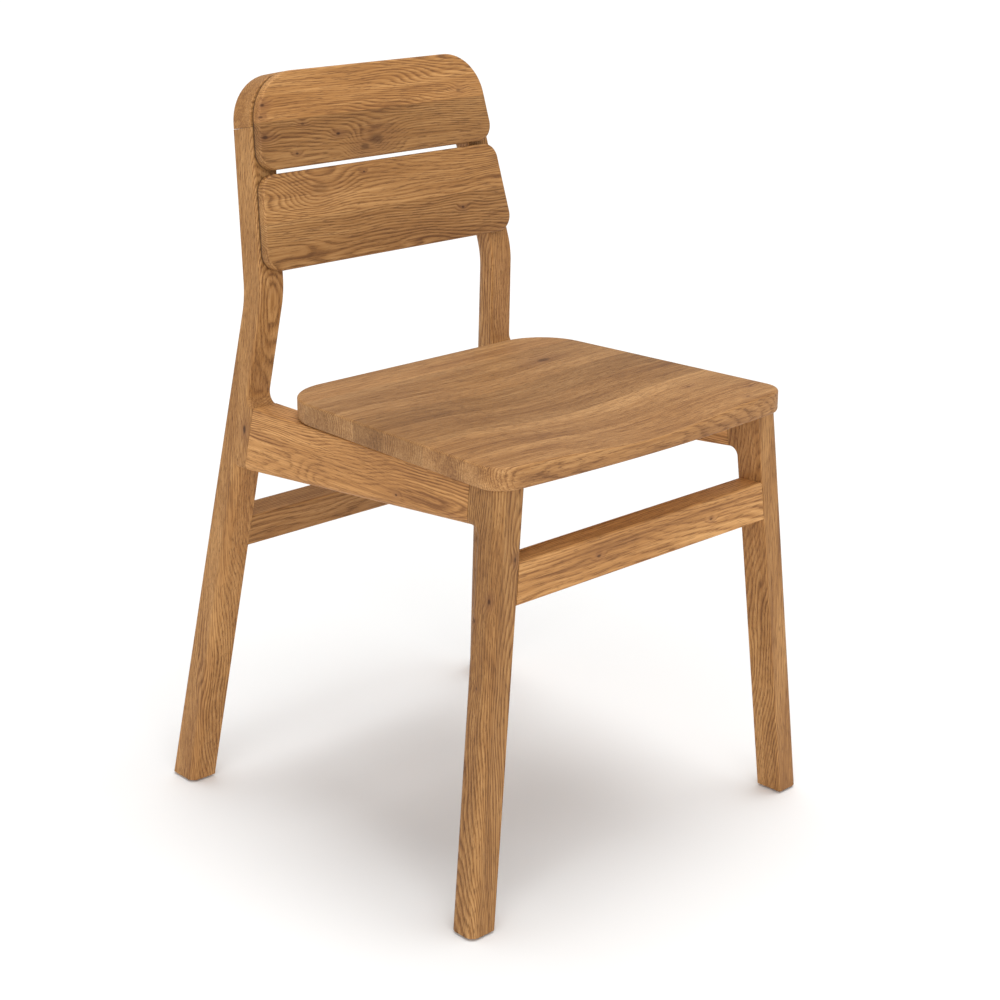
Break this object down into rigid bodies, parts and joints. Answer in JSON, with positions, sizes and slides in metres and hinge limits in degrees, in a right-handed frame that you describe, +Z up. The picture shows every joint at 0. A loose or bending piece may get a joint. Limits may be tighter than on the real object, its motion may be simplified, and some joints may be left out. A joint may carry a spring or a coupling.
{
  "type": "dining chair",
  "caption": "Solid oak dining chair with a dished staved seat, two back slats, canted side frames and front and rear stretchers.",
  "frame": {"origin": "on the floor, under the middle of the chair's bounding box", "axes": "+X to the right seen from in front of the chair's back, -Y is the front, +Z up"},
  "size_m": [0.4848, 0.5, 0.7647],
  "materials": {
    "oak": "oiled, satin",
    "beech": "raw, matte",
    "steel": "zinc plated",
    "nylon": "matte"
  },
  "bodies": {
    "root": {"front_leg_left": "oak", "front_leg_right": "oak", "rear_leg_left": "oak", "rear_leg_right": "oak", "side_rail_left": "oak", "side_rail_right": "oak", "front_stretcher": "oak", "rear_stretcher": "oak", "crest_rail": "oak", "seat_stave_1": "oak", "seat_stave_2": "oak", "seat_stave_3": "oak", "seat_stave_4": "oak", "seat_stave_5": "oak", "seat_stave_6": "oak", "seat_stave_7": "oak", "slat_lower_bottom_board": "oak", "slat_lower_top_board": "oak", "slat_upper_bottom_board": "oak", "slat_upper_top_board": "oak", "rail_tenon_front_left": "beech", "rail_tenon_rear_left": "beech", "stretcher_tenon_front_left": "beech", "stretcher_tenon_rear_left": "beech", "crest_dowel_outer_left": "beech", "crest_dowel_inner_left": "beech", "dowel_slat_lower_bottom_left": "beech", "dowel_slat_lower_top_left": "beech", "dowel_slat_upper_bottom_left": "beech", "dowel_slat_upper_top_left": "beech", "seat_screw_front_left": "steel", "seat_screw_rear_left": "steel", "rail_tenon_front_right": "beech", "rail_tenon_rear_right": "beech", "stretcher_tenon_front_right": "beech", "stretcher_tenon_rear_right": "beech", "crest_dowel_outer_right": "beech", "crest_dowel_inner_right": "beech", "dowel_slat_lower_bottom_right": "beech", "dowel_slat_lower_top_right": "beech", "dowel_slat_upper_bottom_right": "beech", "dowel_slat_upper_top_right": "beech", "seat_screw_front_right": "steel", "seat_screw_rear_right": "steel", "glide_front_left": "nylon", "glide_front_right": "nylon", "glide_rear_left": "nylon", "glide_rear_right": "nylon"}
  },
  "joints": []
}
